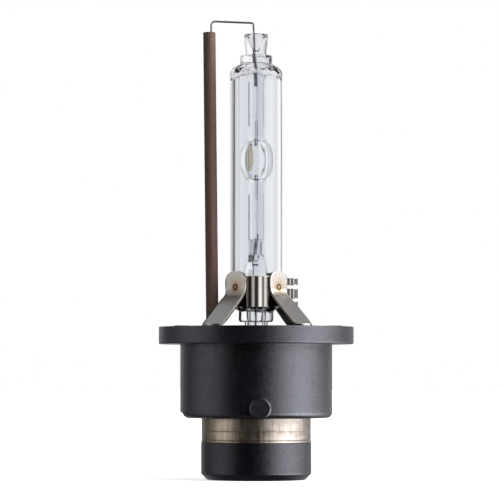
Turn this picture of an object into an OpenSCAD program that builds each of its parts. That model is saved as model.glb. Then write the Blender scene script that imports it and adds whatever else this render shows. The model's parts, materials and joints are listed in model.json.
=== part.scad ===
// Gas-discharge headlight bulb on a flanged push-and-turn cap.
// Z runs along the lamp axis, from the cap to the glass tip, and every height is measured from
// the reference plane, which is the plane that the three seating bosses touch.
// The return wire and its ceramic sleeve stand on the -X side; the locking lugs face -Y and +Y.

/* [Cap] */
// Diameter of the seating flange
flange_d = 31.8; // [31:0.1:33]
// Thickness of the seating flange
flange_t = 2.83; // [2.5:0.01:3.2]
// Height of the seating bosses above the flange face
boss_h = 0.1; // [0.1:0.05:0.3]
// Diameter of the barrel under the flange
barrel_d = 24.8; // [24:0.1:25.6]
// Depth of the barrel's end face below the reference plane
barrel_depth = 14.94; // [14.6:0.01:15.4]
// Diameter of a locking lug
lug_d = 3.45; // [3:0.05:4]
// How far a locking lug stands out of the barrel
lug_out = 1.1; // [0.8:0.1:1.4]
// Diameter of the open well in the top of the cap
well_d = 17.2; // [16:0.1:17.4]
// Depth of the well's floor below the reference plane
well_depth = 9; // [8:0.1:9.5]

/* [Connector end] */
// Outside diameter of the contact ring
ring_d = 17.9; // [17.7:0.1:18.4]
// Length of the contact ring
ring_len = 3.97; // [3.7:0.01:4.2]
// Wall of the contact ring
ring_wall = 0.4; // [0.3:0.05:0.5]
// Outside diameter of the insulating collar
collar_d = 18; // [17.8:0.1:18.4]
// Length of the insulating collar
collar_len = 6.06; // [5.8:0.01:6.4]
// Width of the chamfer round the collar's end
collar_chamfer = 1.01; // [0.6:0.01:1.2]
// Diameter of the connector socket inside the collar
socket_d = 13; // [12.6:0.1:13.4]
// Depth of the connector socket from the collar's end
socket_depth = 8.5; // [8:0.1:9]
// Diameter of the centre contact
contact_d = 3; // [2.8:0.1:3.2]
// How far the centre contact stays behind the collar's end
contact_recess = 1.5; // [1:0.1:2]

/* [Outer bulb] */
// Outside diameter of the outer glass
glass_d = 8.6; // [8.4:0.1:8.8]
// Inside diameter of the outer glass
glass_bore = 6.8; // [6.6:0.1:7]
// Height where the outer glass's top shoulder starts
glass_shoulder = 40.9; // [40.5:0.1:41.2]
// Height where the shoulder meets the top collar
top_collar_base = 42.85; // [42.7:0.05:43]
// Height of the top collar's rim
top_collar_top = 44.35; // [44.2:0.05:44.5]
// Diameter of the top collar
top_collar_d = 5.16; // [5:0.02:5.4]
// Diameter of the bottom collar
low_collar_d = 5.66; // [5.4:0.02:5.8]

/* [Burner] */
// Height of the middle of the arc
arc_centre = 27.1; // [26.9:0.1:27.3]
// Distance between the electrode tips
arc_gap = 4.2; // [4:0.1:4.4]
// Outside diameter of the arc chamber
chamber_d = 5.7; // [5.5:0.1:5.9]
// Inside diameter of the arc chamber
cavity_d = 2.7; // [2.5:0.1:2.9]
// Thickness of the pinched seals
seal_t = 2.45; // [2.3:0.05:2.6]
// Width of the pinched seals
seal_w = 3.6; // [3.4:0.1:3.6]
// Diameter of the upper extension tube
tip_d = 3.44; // [3.3:0.02:3.5]
// Diameter of the flared rim of the upper extension tube
tip_rim_d = 3.92; // [3.8:0.02:4]
// Height of the flared rim
tip_rim_z = 47.8; // [47.6:0.1:47.9]
// Diameter of the lower extension tube, which stands in the cap
stem_d = 3.8; // [3.7:0.1:3.9]

/* [Metal in the glass] */
// Diameter of the electrodes
electrode_d = 0.3; // [0.25:0.05:0.35]
// Width of the sealing foils
foil_w = 1.5; // [1.4:0.1:1.6]
// Thickness of the sealing foils
foil_t = 0.06; // [0.05:0.01:0.08]
// Length of the sealing foils
foil_len = 7.4; // [7.2:0.1:7.5]
// Diameter of the leads and the return wire
wire_d = 0.34; // [0.3:0.02:0.4]

/* [Return wire and sleeve] */
// Outside diameter of the ceramic sleeve
sleeve_d = 2.03; // [1.95:0.01:2.1]
// Inside diameter of the ceramic sleeve
sleeve_bore = 1.2; // [1.1:0.05:1.25]
// Height of the sleeve's upper end
sleeve_top = 48.1; // [47.8:0.1:48.4]
// Distance from the lamp axis to the sleeve at the reference plane
sleeve_x = 7.16; // [7.1:0.01:7.2]
// Lean of the sleeve away from the lamp axis, in degrees
sleeve_lean = 0.62; // [0.5:0.01:0.7]
// Running clearance between the sleeve and the hole it stands in
sleeve_play = 0.06; // [0.03:0.01:0.1]

/* [Glass holder] */
// Bottom of the clamp band
band_bottom = 3.04; // [2.9:0.02:3.2]
// Height of the clamp band
band_h = 5.03; // [4.9:0.01:5.2]
// Thickness of the clamp band
band_t = 0.3; // [0.2:0.05:0.3]
// Width of the four legs
leg_w = 4.3; // [4.1:0.1:4.4]
// Thickness of the legs
leg_t = 0.4; // [0.3:0.05:0.45]
// Height of the top of the leg pads
leg_top = 8.87; // [8.7:0.01:9]
// Distance from the lamp axis to the heel where a leg meets the cap
leg_heel = 10.36; // [10.2:0.02:10.4]

/* [Hidden] */
$fn = 72;
eps = 0.01;

// Colours
quartz = [0.86, 0.89, 0.93, 0.45];
black_plastic = [0.17, 0.17, 0.19];
steel = [0.58, 0.56, 0.53];
tungsten = [0.35, 0.35, 0.37];
ceramic = [0.38, 0.28, 0.25];
nickel = [0.72, 0.68, 0.62];
salt = [0.80, 0.70, 0.36];

// Cap
flange_r = flange_d / 2;
flange_top = -boss_h;
flange_bottom = flange_top - flange_t;
barrel_r = barrel_d / 2;
barrel_round = 0.9;
boss_d = 2.4;
boss_circle_r = 14.2;
lug_edge = 0.2;
lug_clear = 0.15;
lug_z = -13.3;
key_w = 3.2;
key_depth = 1.2;
key_angles = [160, 218];
index_cut = [1.1, 0.85];
index_w = 7;
nib_d = 0.5;

// Bosses inside the well
stem_r = stem_d / 2;
stem_bottom = -9.4;
stem_boss_r = 4;
stem_boss_top = -2.6;
stem_play = 0.12;
rib_t = 1.2;
rib_top = -4.6;
rib_angles = [30, 90, 150, 210, 270, 330];
guide_boss_r = 1.42;
guide_top = -1.2;

// Connector end
ring_r = ring_d / 2;
ring_seat_r = ring_r - ring_wall;
ring_bottom = -barrel_depth - ring_len;
collar_r = collar_d / 2;
cap_end = ring_bottom - collar_len;
neck_r = 7.6;
lip_t = 0.9;
socket_r = socket_d / 2;
socket_floor = cap_end + socket_depth;
contact_r = contact_d / 2;
contact_tip = cap_end + contact_recess;
contact_top = -11.6;
shoulder_r = 2.3;
shoulder_t = 0.8;
lead_hole_depth = 3;
lead_play = 0.06;

// Outer bulb
glass_r = glass_d / 2;
glass_bore_r = glass_bore / 2;
roof_z = 41.75;
roof_round = 1.6;
low_collar_bottom = 0.68;
low_collar_round = 0.4;
low_shoulder = [[2.94, 2.45], [3.44, 2.86], [4.02, 3.45]];
low_shoulder_end = 4.15;
floor_z = 3.35;
floor_round = 1.2;

// Burner
chamber_half = 3.98;
cavity_half = 3.3;
seal_top = 41;
seal_bottom = 10.4;
neck_cone = 0.9;
flare_base = 44.4;
tip_bore_bottom = 44.9;
tip_wall = 0.4;
stem_bore_r = 1.15;
stem_funnel = 8;

// Wires. Routes are [x, z] points in the plane y = 0.
wire_r = wire_d / 2;
electrode_r = electrode_d / 2;
electrode_len = 4.4;
electrode_tip = 0.05;
foil_lap = 0.9;
upper_foil_z = arc_centre + arc_gap / 2 + electrode_len - foil_lap;
lower_foil_z = arc_centre - arc_gap / 2 - electrode_len + foil_lap - foil_len;
upper_foil_end = upper_foil_z + foil_len;
top_corner = [-0.44, 49.68];
weld_point = [-1.6, 49.73];
outer_corner = [-7.37, 49.93];
ring_tail_z = -16.9;
upper_lead_route = [[0, upper_foil_end - foil_lap], top_corner, weld_point];
lower_lead_route = [
    [0.19, lower_foil_z + foil_lap], [-0.45, 10.6], [-0.1, 5], [-0.1, contact_top - 2.8]
];
return_route = [weld_point, outer_corner, [-7.05, ring_tail_z], [-ring_seat_r, ring_tail_z]];
lead_bend = 0.4;
return_bend = 0.65;
joint_swell = 1.03;
sleeve_bottom = -5.4;

// Salt pool on the chamber wall
salt_depth = 0.35;
salt_w = 1.9;
salt_low = 25.2;
salt_high = 29.3;

// Glass holder
band_r = glass_r + band_t;
band_top = band_bottom + band_h;
ear_slit = 0.6;
knuckle_x = 5.95;
knuckle_r = 0.85;
knuckle_wall = 0.3;
knuckles = [[6.71, 1.13], [4.52, 1.6], [3.3, 0.78]];
pad_rho = band_r + leg_t;
pad_heel_z = 5.5;
foot_end = 11.45;
foot_top = flange_top + leg_t;
head_round = 1.6;
neck_w = 3.9;
neck_z = 5.1;
weld_d = 1.25;
weld_z = 6.3;
weld_dent = 0.06;
leg_ring_r = 12.6;
leg_ring_t = 0.4;
skirt_t = 0.4;
skirt_depth = 3;

// Helpers
function arc(cx, cz, r, from, to, n = 8) =
    [for (i = [0:n]) let (a = from + (to - from) * i / n) [cx + r * cos(a), cz + r * sin(a)]];

function half_ellipse(rx, rz, n = 24) =
    [for (i = [0:n]) let (a = -90 + 180 * i / n) [max(0, rx * cos(a)), rz * sin(a)]];

function unit(v) = v / norm(v);
function left_of(v) = [-v[1], v[0]];

// Inner side of a bent strip: the path moved sideways by t, with mitred corners
function mitred(path, t) = [
    for (i = [0:len(path) - 1])
        let (
            before = left_of(unit(path[max(i, 1)] - path[max(i, 1) - 1])),
            last = len(path) - 2,
            after = left_of(unit(path[min(i, last) + 1] - path[min(i, last)])),
            sum = before + after
        )
        path[i] - t * sum * 2 / (sum * sum)
];

module revolve(points) {
    rotate_extrude() polygon(points);
}

// A route's points, with every sharp corner replaced by a bend of short chords
function bent(route, bend, chord = 18) = [
    for (i = [0:len(route) - 1])
        let (
            last = len(route) - 1,
            heading = unit(route[max(i, 1)] - route[max(i, 1) - 1]),
            next = unit(route[min(i, last - 1) + 1] - route[min(i, last - 1)]),
            turn = i == 0 || i == last ? 0 : acos(heading * next),
            side = sign(heading[0] * next[1] - heading[1] * next[0]),
            centre = route[i] - bend * tan(turn / 2) * heading + side * bend * left_of(heading),
            spoke = -side * left_of(heading),
            start = atan2(spoke[1], spoke[0]),
            n = turn < chord ? 0 : ceil(turn / chord)
        )
        for (k = [0:n])
            let (a = start + side * turn * k / max(n, 1))
            n == 0 ? route[i] : centre + bend * [cos(a), sin(a)]
];

module wire_rod(from, to, r) {
    run = to - from;
    translate([from[0], 0, from[1]])
        rotate([0, atan2(run[0], run[1]), 0])
            cylinder(h = norm(run), r = r);
}

// Round wire along a route, with a ball just proud of the wire at every joint
module bent_wire(route, r, bend) {
    points = bent(route, bend);
    last = len(points) - 1;
    for (i = [0:last - 1])
        wire_rod(points[i], points[i + 1], r);
    for (i = [1:last - 1])
        translate([points[i][0], 0, points[i][1]])
            sphere(r * joint_swell);
}

// Puts its children in the sleeve's own frame, where the sleeve's axis is Z
module at_sleeve() {
    translate([-sleeve_x, 0, 0])
        rotate([0, -sleeve_lean, 0])
            children();
}

// Glass
module outer_bulb() {
    shoulder_r = glass_r - top_collar_d / 2;
    shoulder_h = top_collar_base - glass_shoulder;
    top_r = top_collar_d / 2;
    low_r = low_collar_d / 2;
    rim = 0.2;
    color(quartz)
        revolve(concat(
            [[stem_r, low_collar_bottom]],
            arc(low_r - low_collar_round, low_collar_bottom + low_collar_round,
                low_collar_round, -90, 0),
            [[low_r, low_shoulder[0][1]]],
            low_shoulder,
            [[glass_r, low_shoulder_end]],
            [for (a = [0:10:90])
                [top_r + shoulder_r * cos(a), glass_shoulder + shoulder_h * sin(a)]],
            arc(top_r - rim, top_collar_top - rim, rim, 0, 90, 4),
            [[tip_d / 2, top_collar_top], [tip_d / 2, roof_z]],
            arc(glass_bore_r - roof_round, roof_z - roof_round, roof_round, 90, 0),
            arc(glass_bore_r - floor_round, floor_z + floor_round, floor_round, 0, -90),
            [[stem_r, floor_z]]
        ));
}

module seal_section() {
    side = (seal_w - seal_t) / 2;
    square([seal_t, 2 * side], center = true);
    for (y = [-side, side])
        translate([0, y]) circle(d = seal_t);
}

module cavity() {
    translate([0, 0, arc_centre])
        revolve(half_ellipse(cavity_d / 2, cavity_half));
}

module burner_glass() {
    translate([0, 0, seal_bottom])
        linear_extrude(height = seal_top - seal_bottom)
            seal_section();
    translate([0, 0, arc_centre])
        revolve(half_ellipse(chamber_d / 2, chamber_half));
    revolve([
        [0, seal_top - neck_cone], [seal_t / 2 - 0.1, seal_top - neck_cone],
        [tip_d / 2, seal_top], [tip_d / 2, flare_base], [tip_rim_d / 2, tip_rim_z],
        [tip_rim_d / 2 - tip_wall, tip_rim_z], [wire_r + 0.1, tip_bore_bottom],
        [0, tip_bore_bottom]
    ]);
    revolve([
        [stem_bore_r, stem_bottom], [stem_r, stem_bottom], [stem_r, seal_bottom],
        [seal_t / 2 - 0.1, seal_bottom + neck_cone], [0, seal_bottom + neck_cone],
        [0, seal_bottom], [stem_bore_r, stem_funnel]
    ]);
}

module arc_tube() {
    color(quartz)
        difference() {
            burner_glass();
            cavity();
            upper_electrode();
            lower_electrode();
            upper_foil();
            lower_foil();
            upper_lead();
            lower_lead();
        }
}

// Metal sealed in the glass
module electrode() {
    revolve([
        [0, 0], [electrode_r - electrode_tip, 0], [electrode_r, electrode_tip],
        [electrode_r, electrode_len], [0, electrode_len]
    ]);
}

module upper_electrode() {
    color(tungsten)
        translate([0, 0, arc_centre + arc_gap / 2])
            electrode();
}

module lower_electrode() {
    color(tungsten)
        translate([0, 0, arc_centre - arc_gap / 2])
            mirror([0, 0, 1])
                electrode();
}

module foil(z) {
    translate([-foil_t / 2, -foil_w / 2, z])
        cube([foil_t, foil_w, foil_len]);
}

module upper_foil() {
    color(tungsten)
        difference() {
            foil(upper_foil_z);
            upper_electrode();
            upper_lead();
        }
}

module lower_foil() {
    color(tungsten)
        difference() {
            foil(lower_foil_z);
            lower_electrode();
            lower_lead();
        }
}

module upper_lead() {
    color(nickel)
        bent_wire(upper_lead_route, wire_r, lead_bend);
}

module lower_lead() {
    color(nickel)
        bent_wire(lower_lead_route, wire_r, lead_bend);
}

module halide_salt() {
    edge = cavity_d / 2;
    color(salt)
        intersection() {
            cavity();
            translate([-edge - 1, -salt_w / 2, salt_low])
                cube([1 + salt_depth, salt_w, salt_high - salt_low]);
        }
}

// Return wire and the loose ceramic sleeve that insulates it
module return_wire() {
    color(nickel)
        bent_wire(return_route, wire_r, return_bend);
}

module insulator_sleeve() {
    color(ceramic)
        at_sleeve()
            translate([0, 0, sleeve_bottom])
                difference() {
                    cylinder(h = sleeve_top - sleeve_bottom, d = sleeve_d);
                    translate([0, 0, -eps])
                        cylinder(h = sleeve_top - sleeve_bottom + 2 * eps, d = sleeve_bore);
                }
}

// Holder that grips the outer glass
module band_knuckle(z, h) {
    translate([knuckle_x, 0, z])
        difference() {
            cylinder(h = h, r = knuckle_r);
            translate([0, 0, -eps])
                cylinder(h = h + 2 * eps, r = knuckle_r - knuckle_wall);
        }
    translate([band_r - band_t / 2, -knuckle_r, z])
        cube([knuckle_x - band_r + band_t / 2, knuckle_wall, h]);
}

module clamp_band() {
    color(steel) {
        difference() {
            translate([0, 0, band_bottom])
                cylinder(h = band_h, r = band_r);
            translate([0, 0, band_bottom - eps])
                cylinder(h = band_h + 2 * eps, r = glass_r);
            translate([0, knuckle_wall - knuckle_r, band_bottom - eps])
                cube([2 * band_r, ear_slit, band_h + 2 * eps]);
        }
        for (k = knuckles)
            band_knuckle(k[0], k[1]);
    }
}

module leg_outline() {
    side = leg_w / 2;
    difference() {
        union() {
            translate([-side, flange_top - 1])
                square([leg_w, leg_top - head_round - flange_top + 1]);
            translate([head_round - side, 0])
                square([leg_w - 2 * head_round, leg_top]);
            for (s = [-1, 1])
                translate([s * (side - head_round), leg_top - head_round])
                    circle(head_round);
        }
        for (s = [-1, 1])
            translate([s * (neck_w / 2 + head_round), neck_z])
                circle(head_round);
    }
}

module leg(azimuth) {
    face = [[pad_rho, leg_top], [pad_rho, pad_heel_z], [leg_heel, foot_top], [foot_end, foot_top]];
    back = mitred(face, leg_t);
    strip = concat(face, [for (i = [len(back) - 1:-1:0]) back[i]]);
    color(steel)
        rotate([0, 0, azimuth])
            difference() {
                intersection() {
                    rotate([90, 0, 0])
                        translate([0, 0, -leg_w / 2])
                            linear_extrude(height = leg_w) polygon(strip);
                    rotate([90, 0, 90])
                        linear_extrude(height = 2 * foot_end) leg_outline();
                    translate([0, 0, flange_top - 1])
                        linear_extrude(height = leg_top + 3) {
                            translate([0, -leg_w / 2])
                                square([foot_end - leg_w / 2, leg_w]);
                            translate([foot_end - leg_w / 2, 0])
                                circle(d = leg_w);
                        }
                }
                translate([pad_rho - weld_dent, 0, weld_z])
                    rotate([0, 90, 0])
                        difference() {
                            cylinder(h = 1, d = weld_d);
                            cylinder(h = 1, d = weld_d - 0.4);
                        }
            }
}

module leg_front_left() { leg(-135); }
module leg_front_right() { leg(-45); }
module leg_rear_left() { leg(135); }
module leg_rear_right() { leg(45); }

module leg_ring() {
    inner = well_d / 2;
    color(steel)
        revolve([
            [inner, flange_top], [leg_ring_r, flange_top],
            [leg_ring_r, flange_top - leg_ring_t], [inner + skirt_t, flange_top - leg_ring_t],
            [inner + skirt_t, flange_top - skirt_depth], [inner, flange_top - skirt_depth]
        ]);
}

// Round lug on the -Y side, rooted 1 mm inside the barrel and cut flat just above its end
module locking_lug() {
    difference() {
        translate([0, 1 - barrel_r, lug_z])
            rotate([90, 0, 0]) {
                cylinder(h = lug_out + 1 - lug_edge, d = lug_d);
                translate([0, 0, lug_out + 1 - lug_edge])
                    cylinder(h = lug_edge, d1 = lug_d, d2 = lug_d - 2 * lug_edge);
            }
        translate([-lug_d, -2 * barrel_r, -barrel_depth - lug_d + lug_clear])
            cube([2 * lug_d, 2 * barrel_r, lug_d]);
    }
}

// Cap
module cap_body() {
    edge = 0.25;
    revolve(concat(
        [[0, socket_floor], [socket_r, socket_floor], [socket_r, cap_end + lip_t]],
        [[neck_r, cap_end + lip_t], [neck_r, ring_bottom], [ring_seat_r, ring_bottom]],
        [[ring_seat_r, -barrel_depth]],
        arc(barrel_r - barrel_round, barrel_round - barrel_depth, barrel_round, -90, 0),
        [[barrel_r, flange_bottom]],
        arc(flange_r - edge, flange_bottom + edge, edge, -90, 0, 4),
        [[flange_r, flange_top], [well_d / 2, flange_top], [well_d / 2, -well_depth]],
        [[0, -well_depth]]
    ));
    translate([0, 0, -well_depth - 1])
        cylinder(h = well_depth + 1 + stem_boss_top, r = stem_boss_r);
    for (a = rib_angles)
        rotate([0, 0, a])
            translate([stem_boss_r - 1, -rib_t / 2, -well_depth - 1])
                cube([well_d / 2 - stem_boss_r + 1.5, rib_t, well_depth + 1 + rib_top]);
    at_sleeve()
        translate([0, 0, -well_depth - 1])
            cylinder(h = well_depth + 1 + guide_top, r = guide_boss_r);
    for (a = [90, 210, 330])
        rotate([0, 0, a])
            translate([boss_circle_r, 0, flange_top - 1])
                cylinder(h = 1 + boss_h, d = boss_d);
    for (side = [0, 180])
        rotate([0, 0, side])
            locking_lug();
    translate([-barrel_r, 0, index_cut[1] - barrel_depth])
        sphere(d = nib_d);
}

module wire_channel() {
    wire_rod(outer_corner, [return_route[2][0], ring_tail_z - 2 * wire_d], wire_d);
    translate([-ring_seat_r - 1, -wire_d, ring_tail_z - 2 * wire_d])
        cube([ring_seat_r + 1 + return_route[2][0], 2 * wire_d, 4 * wire_d]);
}

module base_housing() {
    color(black_plastic)
        difference() {
            cap_body();
            translate([0, 0, stem_bottom - 0.1])
                cylinder(h = 20, r = stem_r + stem_play);
            at_sleeve()
                translate([0, 0, sleeve_bottom - 0.1])
                    cylinder(h = 20, r = sleeve_d / 2 + sleeve_play);
            wire_channel();
            centre_contact_solid();
            wire_rod([-0.1, contact_top - 1], [-0.1, 0], wire_r + lead_play);
            leg_ring();
            for (a = key_angles)
                rotate([0, 0, a - 90])
                    translate([flange_r - key_depth, -key_w / 2, flange_bottom - 1])
                        cube([key_depth + 1, key_w, flange_t + 2]);
            translate([-barrel_r, 0, -barrel_depth])
                rotate([0, atan2(index_cut[1], index_cut[0]), 0])
                    cube([2 * index_cut[0], index_w, 2 * index_cut[1]], center = true);
        }
}

module contact_ring() {
    crease = 0.05;
    bead = 0.35;
    mid = ring_bottom + ring_len / 2;
    color(nickel)
        revolve([
            [ring_seat_r, ring_bottom], [ring_r, ring_bottom], [ring_r, ring_bottom + bead],
            [ring_r - crease, ring_bottom + bead + crease],
            [ring_r - crease, mid - 2 * crease], [ring_r - 2 * crease, mid],
            [ring_r - crease, mid + 2 * crease], [ring_r - crease, -barrel_depth],
            [ring_seat_r, -barrel_depth]
        ]);
}

module end_collar() {
    color(black_plastic)
        revolve([
            [socket_r, cap_end], [collar_r - collar_chamfer, cap_end],
            [collar_r, cap_end + collar_chamfer], [collar_r, ring_bottom],
            [neck_r, ring_bottom], [neck_r, cap_end + lip_t], [socket_r, cap_end + lip_t]
        ]);
}

module centre_contact_solid() {
    tip = 0.6;
    revolve(concat(
        [[0, contact_tip]],
        arc(contact_r - tip, contact_tip + tip, tip, -90, 0, 6),
        [[contact_r, socket_floor], [shoulder_r, socket_floor]],
        [[shoulder_r, socket_floor + shoulder_t], [contact_r, socket_floor + shoulder_t]],
        [[contact_r, contact_top], [0, contact_top]]
    ));
}

module centre_contact() {
    color(nickel)
        difference() {
            centre_contact_solid();
            translate([-0.1, 0, contact_top - lead_hole_depth])
                cylinder(h = lead_hole_depth + 1, r = wire_r + lead_play);
        }
}

outer_bulb();
arc_tube();
upper_electrode();
lower_electrode();
upper_foil();
lower_foil();
upper_lead();
lower_lead();
halide_salt();
return_wire();
insulator_sleeve();
clamp_band();
leg_front_left();
leg_front_right();
leg_rear_left();
leg_rear_right();
leg_ring();
base_housing();
contact_ring();
end_collar();
centre_contact();
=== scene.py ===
"""Looks of a gas-discharge headlight bulb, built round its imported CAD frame.

Meshes are made in millimetres in the frame's own axes, and scaled to metres as they are stored.
"""

import json
import math

import bmesh
import bpy
from mathutils import Matrix, Vector, noise


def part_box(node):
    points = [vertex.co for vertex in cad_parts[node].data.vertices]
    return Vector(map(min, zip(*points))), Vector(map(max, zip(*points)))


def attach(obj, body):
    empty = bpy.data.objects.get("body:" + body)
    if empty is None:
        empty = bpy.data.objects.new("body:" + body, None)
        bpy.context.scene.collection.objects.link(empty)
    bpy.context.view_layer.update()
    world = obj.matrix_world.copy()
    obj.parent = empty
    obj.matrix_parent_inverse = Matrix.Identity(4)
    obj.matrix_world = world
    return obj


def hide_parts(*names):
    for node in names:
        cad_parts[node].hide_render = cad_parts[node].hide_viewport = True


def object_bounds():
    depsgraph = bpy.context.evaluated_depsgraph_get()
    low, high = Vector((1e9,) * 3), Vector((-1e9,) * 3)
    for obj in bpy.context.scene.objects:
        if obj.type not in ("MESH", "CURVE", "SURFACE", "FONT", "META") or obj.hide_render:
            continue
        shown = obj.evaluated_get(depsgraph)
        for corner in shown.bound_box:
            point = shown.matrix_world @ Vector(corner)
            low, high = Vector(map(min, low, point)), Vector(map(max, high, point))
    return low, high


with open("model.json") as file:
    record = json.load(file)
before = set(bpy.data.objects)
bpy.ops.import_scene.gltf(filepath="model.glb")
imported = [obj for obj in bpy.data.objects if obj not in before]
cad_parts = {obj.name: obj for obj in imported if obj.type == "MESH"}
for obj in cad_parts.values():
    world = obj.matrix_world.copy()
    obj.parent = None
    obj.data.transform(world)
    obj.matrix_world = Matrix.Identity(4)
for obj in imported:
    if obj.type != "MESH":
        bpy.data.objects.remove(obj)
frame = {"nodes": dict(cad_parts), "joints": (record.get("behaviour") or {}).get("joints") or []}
cad_low, cad_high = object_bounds()

MM = 0.001
ROUND, CAP_ROUND = 144, 192
TAU = 2 * math.pi


# ---------------------------------------------------------------- sizes, in mm, from the frame

def extent(node):
    low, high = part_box(node)
    return low / MM, high / MM


def smoothstep(edge0, edge1, x):
    t = min(1.0, max(0.0, (x - edge0) / (edge1 - edge0)))
    return t * t * (3 - 2 * t)


def mix(a, b, t):
    return a + (b - a) * t


GLASS_LOW, GLASS_HIGH = extent("outer_bulb")
BURNER_LOW, BURNER_HIGH = extent("arc_tube")
RING_LOW, RING_HIGH = extent("contact_ring")
COLLAR_LOW, COLLAR_HIGH = extent("end_collar")
BAND_LOW, BAND_HIGH = extent("clamp_band")
TIP_U = extent("upper_electrode")[0].z
TIP_L = extent("lower_electrode")[1].z
SLEEVE_JOINT = next(j for j in frame["joints"] if j["name"] == "sleeve_spin")

GLASS_R = GLASS_HIGH.x
GLASS_WALL = 0.9
CHAMBER_R = BURNER_HIGH.y
ARC_Z = (TIP_U + TIP_L) / 2
FLANGE_TOP = extent("leg_ring")[1].z
BAND_T = 0.3
BAND_R = GLASS_R + BAND_T


# ---------------------------------------------------------------- mesh tools

def rounded(corners, steps=5):
    """Outline from (x, y) or (x, y, radius) corners, with an arc at each that has a radius."""
    points = []
    for i, corner in enumerate(corners):
        here = Vector(corner[:2])
        radius = corner[2] if len(corner) > 2 else 0
        if not radius:
            points.append(tuple(here))
            continue
        before = (Vector(corners[i - 1][:2]) - here).normalized()
        after = (Vector(corners[(i + 1) % len(corners)][:2]) - here).normalized()
        half = before.angle(after) / 2
        centre = here + (before + after).normalized() * radius / math.sin(half)
        start = (here + before * radius / math.tan(half) - centre).to_3d()
        end = (here + after * radius / math.tan(half) - centre).to_3d()
        for k in range(steps + 1):
            points.append(tuple(centre + radius * start.slerp(end, k / steps).to_2d()))
    return points


def skin(bm, a, b, material_index=0):
    """Faces between two rings of the same count, or between a ring and a single point."""
    count = max(len(a), len(b))
    if count == 1:
        return
    for i in range(count):
        j = (i + 1) % count
        if len(a) == 1:
            loop = (a[0], b[j], b[i])
        elif len(b) == 1:
            loop = (a[i], a[j], b[0])
        else:
            loop = (a[i], a[j], b[j], b[i])
        bm.faces.new(loop).material_index = material_index


def revolve(outline, segments=ROUND):
    """Closed mesh of a closed (r, z) outline turned about Z."""
    bm = bmesh.new()
    rings = []
    for r, z in outline:
        if r < 1e-6:
            rings.append([bm.verts.new((0, 0, z))])
        else:
            angles = [TAU * i / segments for i in range(segments)]
            rings.append([bm.verts.new((r * math.cos(a), r * math.sin(a), z)) for a in angles])
    for a, b in zip(rings, rings[1:] + rings[:1]):
        skin(bm, a, b)
    return bm


def sweep(path, radius, sides=20):
    """Closed round rod along a path of points."""
    bm = bmesh.new()
    path = [Vector(p) for p in path]
    up = Vector((0, 1, 0))
    rings = []
    for i, point in enumerate(path):
        along = (path[min(i + 1, len(path) - 1)] - path[max(i - 1, 0)]).normalized()
        side = along.cross(up).normalized()
        up = side.cross(along).normalized()
        rings.append([
            bm.verts.new(point + radius * (math.cos(TAU * k / sides) * side
                                           + math.sin(TAU * k / sides) * up))
            for k in range(sides)
        ])
    closed = [[bm.verts.new(path[0])], *rings, [bm.verts.new(path[-1])]]
    for a, b in zip(closed, closed[1:]):
        skin(bm, a, b)
    return bm


def bent_path(route, bends, step=1.0):
    """Points along a route of straight runs, whose corners are arcs of the radii in bends."""
    arc_steps = 12
    route = [Vector(p) for p in route]
    points = [route[0]]
    for before, corner, after, bend in zip(route, route[1:], route[2:], bends):
        a, b = (before - corner).normalized(), (after - corner).normalized()
        half = a.angle(b) / 2
        cut = bend / math.tan(half)
        centre = corner + (a + b).normalized() * bend / math.sin(half)
        start, end = corner + a * cut - centre, corner + b * cut - centre
        points += [centre + bend * start.slerp(end, k / arc_steps) for k in range(arc_steps + 1)]
    points.append(route[-1])
    fine = [points[0]]
    for a, b in zip(points, points[1:]):
        count = max(1, round((b - a).length / step))
        fine += [a.lerp(b, k / count) for k in range(1, count + 1)]
    return fine


def stored(name, bm, materials, sharp=40):
    """The bmesh, made in mm, as a linked object in metres, sharp past so many degrees."""
    bmesh.ops.recalc_face_normals(bm, faces=bm.faces)
    bmesh.ops.scale(bm, vec=(MM, MM, MM), verts=bm.verts)
    mesh = bpy.data.meshes.new(name)
    bm.to_mesh(mesh)
    bm.free()
    for material in materials:
        mesh.materials.append(material)
    mesh.shade_smooth()
    mesh.set_sharp_from_angle(angle=math.radians(sharp))
    obj = bpy.data.objects.new(name, mesh)
    bpy.context.scene.collection.objects.link(obj)
    flat_faces_first(obj)
    return obj


def flat_faces_first(obj):
    """Shades each vertex by its largest faces, so that a small fillet doesn't bend a long wall."""
    weigh = obj.modifiers.new("flat_faces_first", "WEIGHTED_NORMAL")
    weigh.keep_sharp = True
    weigh.weight = 80


def piece(name, bm, finish, nodes=(), body="lamp", sharp=40):
    """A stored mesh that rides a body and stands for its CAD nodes."""
    obj = stored(name, bm, finish if isinstance(finish, list) else [finish], sharp)
    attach(obj, body)
    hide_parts(*nodes)
    return obj


def turned_inside_out(bm):
    """A closed void's surface, whose normals point into the void."""
    bmesh.ops.recalc_face_normals(bm, faces=bm.faces)
    bmesh.ops.reverse_faces(bm, faces=bm.faces)
    return bm


def join_void(obj, bm, sharp=60):
    """Adds a void's inner surface to a stored glass object."""
    bmesh.ops.scale(bm, vec=(MM, MM, MM), verts=bm.verts)
    whole = bmesh.new()
    whole.from_mesh(obj.data)
    void = bpy.data.meshes.new("void")
    bm.to_mesh(void)
    bm.free()
    whole.from_mesh(void)
    whole.to_mesh(obj.data)
    whole.free()
    bpy.data.meshes.remove(void)
    obj.data.shade_smooth()
    obj.data.set_sharp_from_angle(angle=math.radians(sharp))


# ---------------------------------------------------------------- materials

def node(tree, kind, settings=None, **inputs):
    """A shader node, with its settings, and its inputs set or linked by name or by iN number."""
    made = tree.nodes.new("ShaderNode" + kind)
    for key, value in (settings or {}).items():
        setattr(made, key, value)
    for key, value in inputs.items():
        number = key[0] == "i" and key[1:].isdigit()
        socket = made.inputs[int(key[1:]) if number else key.replace("_", " ")]
        if isinstance(value, bpy.types.NodeSocket):
            tree.links.new(value, socket)
        else:
            socket.default_value = value
    return made


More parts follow.
